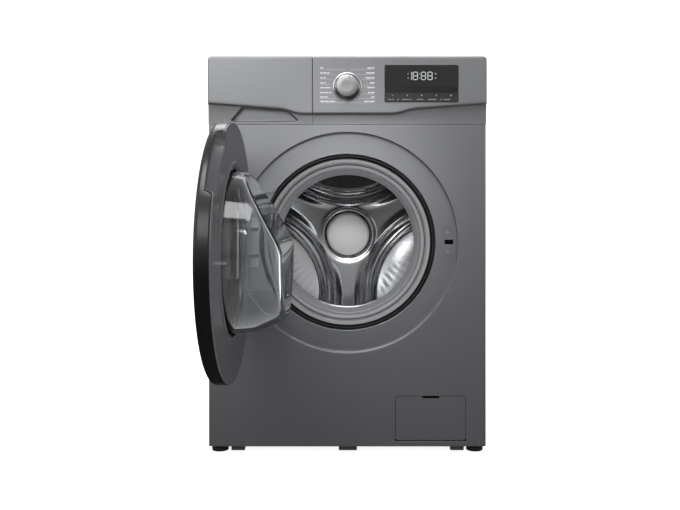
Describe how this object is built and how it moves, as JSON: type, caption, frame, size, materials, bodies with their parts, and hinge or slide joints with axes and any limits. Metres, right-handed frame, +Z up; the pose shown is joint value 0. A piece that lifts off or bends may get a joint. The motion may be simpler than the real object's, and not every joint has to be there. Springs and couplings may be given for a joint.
{
  "type": "front load washing machine",
  "caption": "Freestanding front load washing machine with a hinged porthole door standing open, a detergent drawer, a selector knob, option buttons, a spinning drum and a sprung tub.",
  "frame": {"origin": "centre of the rectangle of the four feet, on the floor", "axes": "+Z up through the worktop, +X to the right seen from the front, and the front faces -Y"},
  "size_m": [0.595, 0.9862, 0.85],
  "materials": {
    "graphite_steel": "satin graphite enamel",
    "graphite_plastic": "satin graphite plastic",
    "laminate": "chipboard with a smooth graphite laminate",
    "galvanised": "galvanised sheet",
    "base_plastic": "moulded black plastic",
    "display_black": "gloss black",
    "circuit_board": "green circuit board with its components",
    "white_plastic": "off-white moulded plastic",
    "grey_rubber": "smooth grey rubber",
    "black_rubber": "black rubber",
    "stainless": "polished stainless steel",
    "bright_steel": "zinc-plated steel",
    "silver_plastic": "metallised plastic with spun end face",
    "chrome_steel": "chromed steel",
    "cast_aluminium": "rough die-cast aluminium",
    "ballast": "painted cast iron",
    "motor_steel": "laminated steel and aluminium housing",
    "bowl_glass": "clear moulded glass, lightly smoked",
    "door_black": "gloss black plastic",
    "door_grey": "dark grey moulded plastic",
    "lifter_plastic": "light grey moulded plastic"
  },
  "bodies": {
    "cabinet": {"front_panel": "graphite_steel", "cabinet_wrap": "graphite_steel", "rear_cover": "galvanised", "worktop": "laminate", "base_tray": "base_plastic", "fascia": "graphite_plastic", "display_window": "display_black", "control_board": "circuit_board", "dispenser_housing": "white_plastic", "inlet_valve": "white_plastic", "fixed_hoses": "grey_rubber", "flexing_hoses": "black_rubber", "top_braces": "galvanised", "hinge_bracket": "bright_steel", "hinge_pin": "bright_steel", "door_lock": "base_plastic", "cabinet_fasteners": "bright_steel", "door_gasket": "grey_rubber", "gasket_clamp": "black_rubber", "drain_pump": "white_plastic", "suspension_springs": "bright_steel", "damper_cylinders": "galvanised", "mains_gland": "base_plastic"},
    "door": {"door_outer_ring": "door_black", "door_cover": "door_black", "door_inner_frame": "door_grey", "door_glass": "bowl_glass", "door_hinge_arm": "bright_steel", "door_screws": "bright_steel"},
    "hook": {"door_hook": "chrome_steel"},
    "drawer": {"drawer_front": "graphite_plastic", "drawer_tray": "white_plastic"},
    "knob": {"selector_knob": "silver_plastic"},
    "button_1": {"option_button_1": "display_black"},
    "button_2": {"option_button_2": "display_black"},
    "button_3": {"option_button_3": "display_black"},
    "button_4": {"option_button_4": "display_black"},
    "button_5": {"option_button_5": "display_black"},
    "flap": {"service_flap": "graphite_plastic"},
    "filter": {"pump_filter": "white_plastic"},
    "impeller": {"pump_impeller": "base_plastic"},
    "foot_front_left": {"foot_front_left": "black_rubber"},
    "foot_front_right": {"foot_front_right": "black_rubber"},
    "foot_rear_left": {"foot_rear_left": "black_rubber"},
    "foot_rear_right": {"foot_rear_right": "black_rubber"},
    "tub": {"tub_front": "white_plastic", "tub_rear": "white_plastic", "counterweights": "ballast", "heater": "bright_steel", "damper_rods": "bright_steel", "drum_bearings": "bright_steel", "drive_belt": "black_rubber", "motor_stator": "motor_steel"},
    "drum": {"drum_wall": "stainless", "drum_rear_wall": "stainless", "drum_lifters": "lifter_plastic", "drum_spider": "cast_aluminium", "drum_pulley": "cast_aluminium", "hub_cap": "stainless"},
    "rotor": {"motor_rotor": "bright_steel"}
  },
  "joints": [
    {"name": "door_hinge", "type": "hinge", "parent": "cabinet", "child": "door", "pos_m": [-0.223, -0.261, 0.452], "axis": [0, 0, -1], "range_deg": [-91, 26]},
    {"name": "hook_pivot", "type": "hinge", "parent": "door", "child": "hook", "pos_m": [-0.22431, -0.70304, 0.452], "axis": [0, 0, 1], "range_deg": [-7, 7], "stiffness_Nm_per_rad": 0.05},
    {"name": "drawer_slide", "type": "slide", "parent": "cabinet", "child": "drawer", "axis": [0, -1, 0], "range_m": [0, 0.21]},
    {"name": "knob_turn", "type": "hinge", "parent": "cabinet", "child": "knob", "pos_m": [0, -0.252, 0.7845], "axis": [0, -1, 0], "continuous": true},
    {"name": "button_1_press", "type": "slide", "parent": "cabinet", "child": "button_1", "axis": [0, 1, 0], "range_m": [0, 0.001], "stiffness_N_per_m": 700, "springref_m": -0.002},
    {"name": "button_2_press", "type": "slide", "parent": "cabinet", "child": "button_2", "axis": [0, 1, 0], "range_m": [0, 0.001], "stiffness_N_per_m": 700, "springref_m": -0.002},
    {"name": "button_3_press", "type": "slide", "parent": "cabinet", "child": "button_3", "axis": [0, 1, 0], "range_m": [0, 0.001], "stiffness_N_per_m": 700, "springref_m": -0.002},
    {"name": "button_4_press", "type": "slide", "parent": "cabinet", "child": "button_4", "axis": [0, 1, 0], "range_m": [0, 0.001], "stiffness_N_per_m": 700, "springref_m": -0.002},
    {"name": "button_5_press", "type": "slide", "parent": "cabinet", "child": "button_5", "axis": [0, 1, 0], "range_m": [0, 0.001], "stiffness_N_per_m": 700, "springref_m": -0.002},
    {"name": "flap_hinge", "type": "hinge", "parent": "cabinet", "child": "flap", "pos_m": [0.1785, -0.234, 0.0325], "axis": [1, 0, 0], "range_deg": [0, 90]},
    {"name": "filter_turn", "type": "hinge", "parent": "cabinet", "child": "filter", "pos_m": [0.1785, -0.214, 0.075], "axis": [0, -1, 0], "continuous": true},
    {"name": "impeller_spin", "type": "hinge", "parent": "cabinet", "child": "impeller", "pos_m": [0.1785, -0.143, 0.075], "axis": [0, -1, 0], "continuous": true},
    {"name": "foot_front_left_screw", "type": "slide", "parent": "cabinet", "child": "foot_front_left", "axis": [0, 0, -1], "range_m": [0, 0.012]},
    {"name": "foot_front_right_screw", "type": "slide", "parent": "cabinet", "child": "foot_front_right", "axis": [0, 0, -1], "range_m": [0, 0.012]},
    {"name": "foot_rear_left_screw", "type": "slide", "parent": "cabinet", "child": "foot_rear_left", "axis": [0, 0, -1], "range_m": [0, 0.012]},
    {"name": "foot_rear_right_screw", "type": "slide", "parent": "cabinet", "child": "foot_rear_right", "axis": [0, 0, -1], "range_m": [0, 0.012]},
    {"name": "tub_bounce", "type": "slide", "parent": "cabinet", "child": "tub", "axis": [0, 0, 1], "range_m": [-0.008, 0.008], "stiffness_N_per_m": 15000, "springref_m": 0.02825, "deforming": ["suspension_springs", "door_gasket", "flexing_hoses"]},
    {"name": "drum_spin", "type": "hinge", "parent": "tub", "child": "drum", "pos_m": [0, 0, 0.452], "axis": [0, -1, 0], "continuous": true},
    {"name": "rotor_spin", "type": "hinge", "parent": "tub", "child": "rotor", "pos_m": [0, 0.1, 0.118], "axis": [0, -1, 0], "continuous": true}
  ],
  "couplings": [
    {"joint": "rotor_spin", "follows": "drum_spin", "ratio": 12.727}
  ]
}
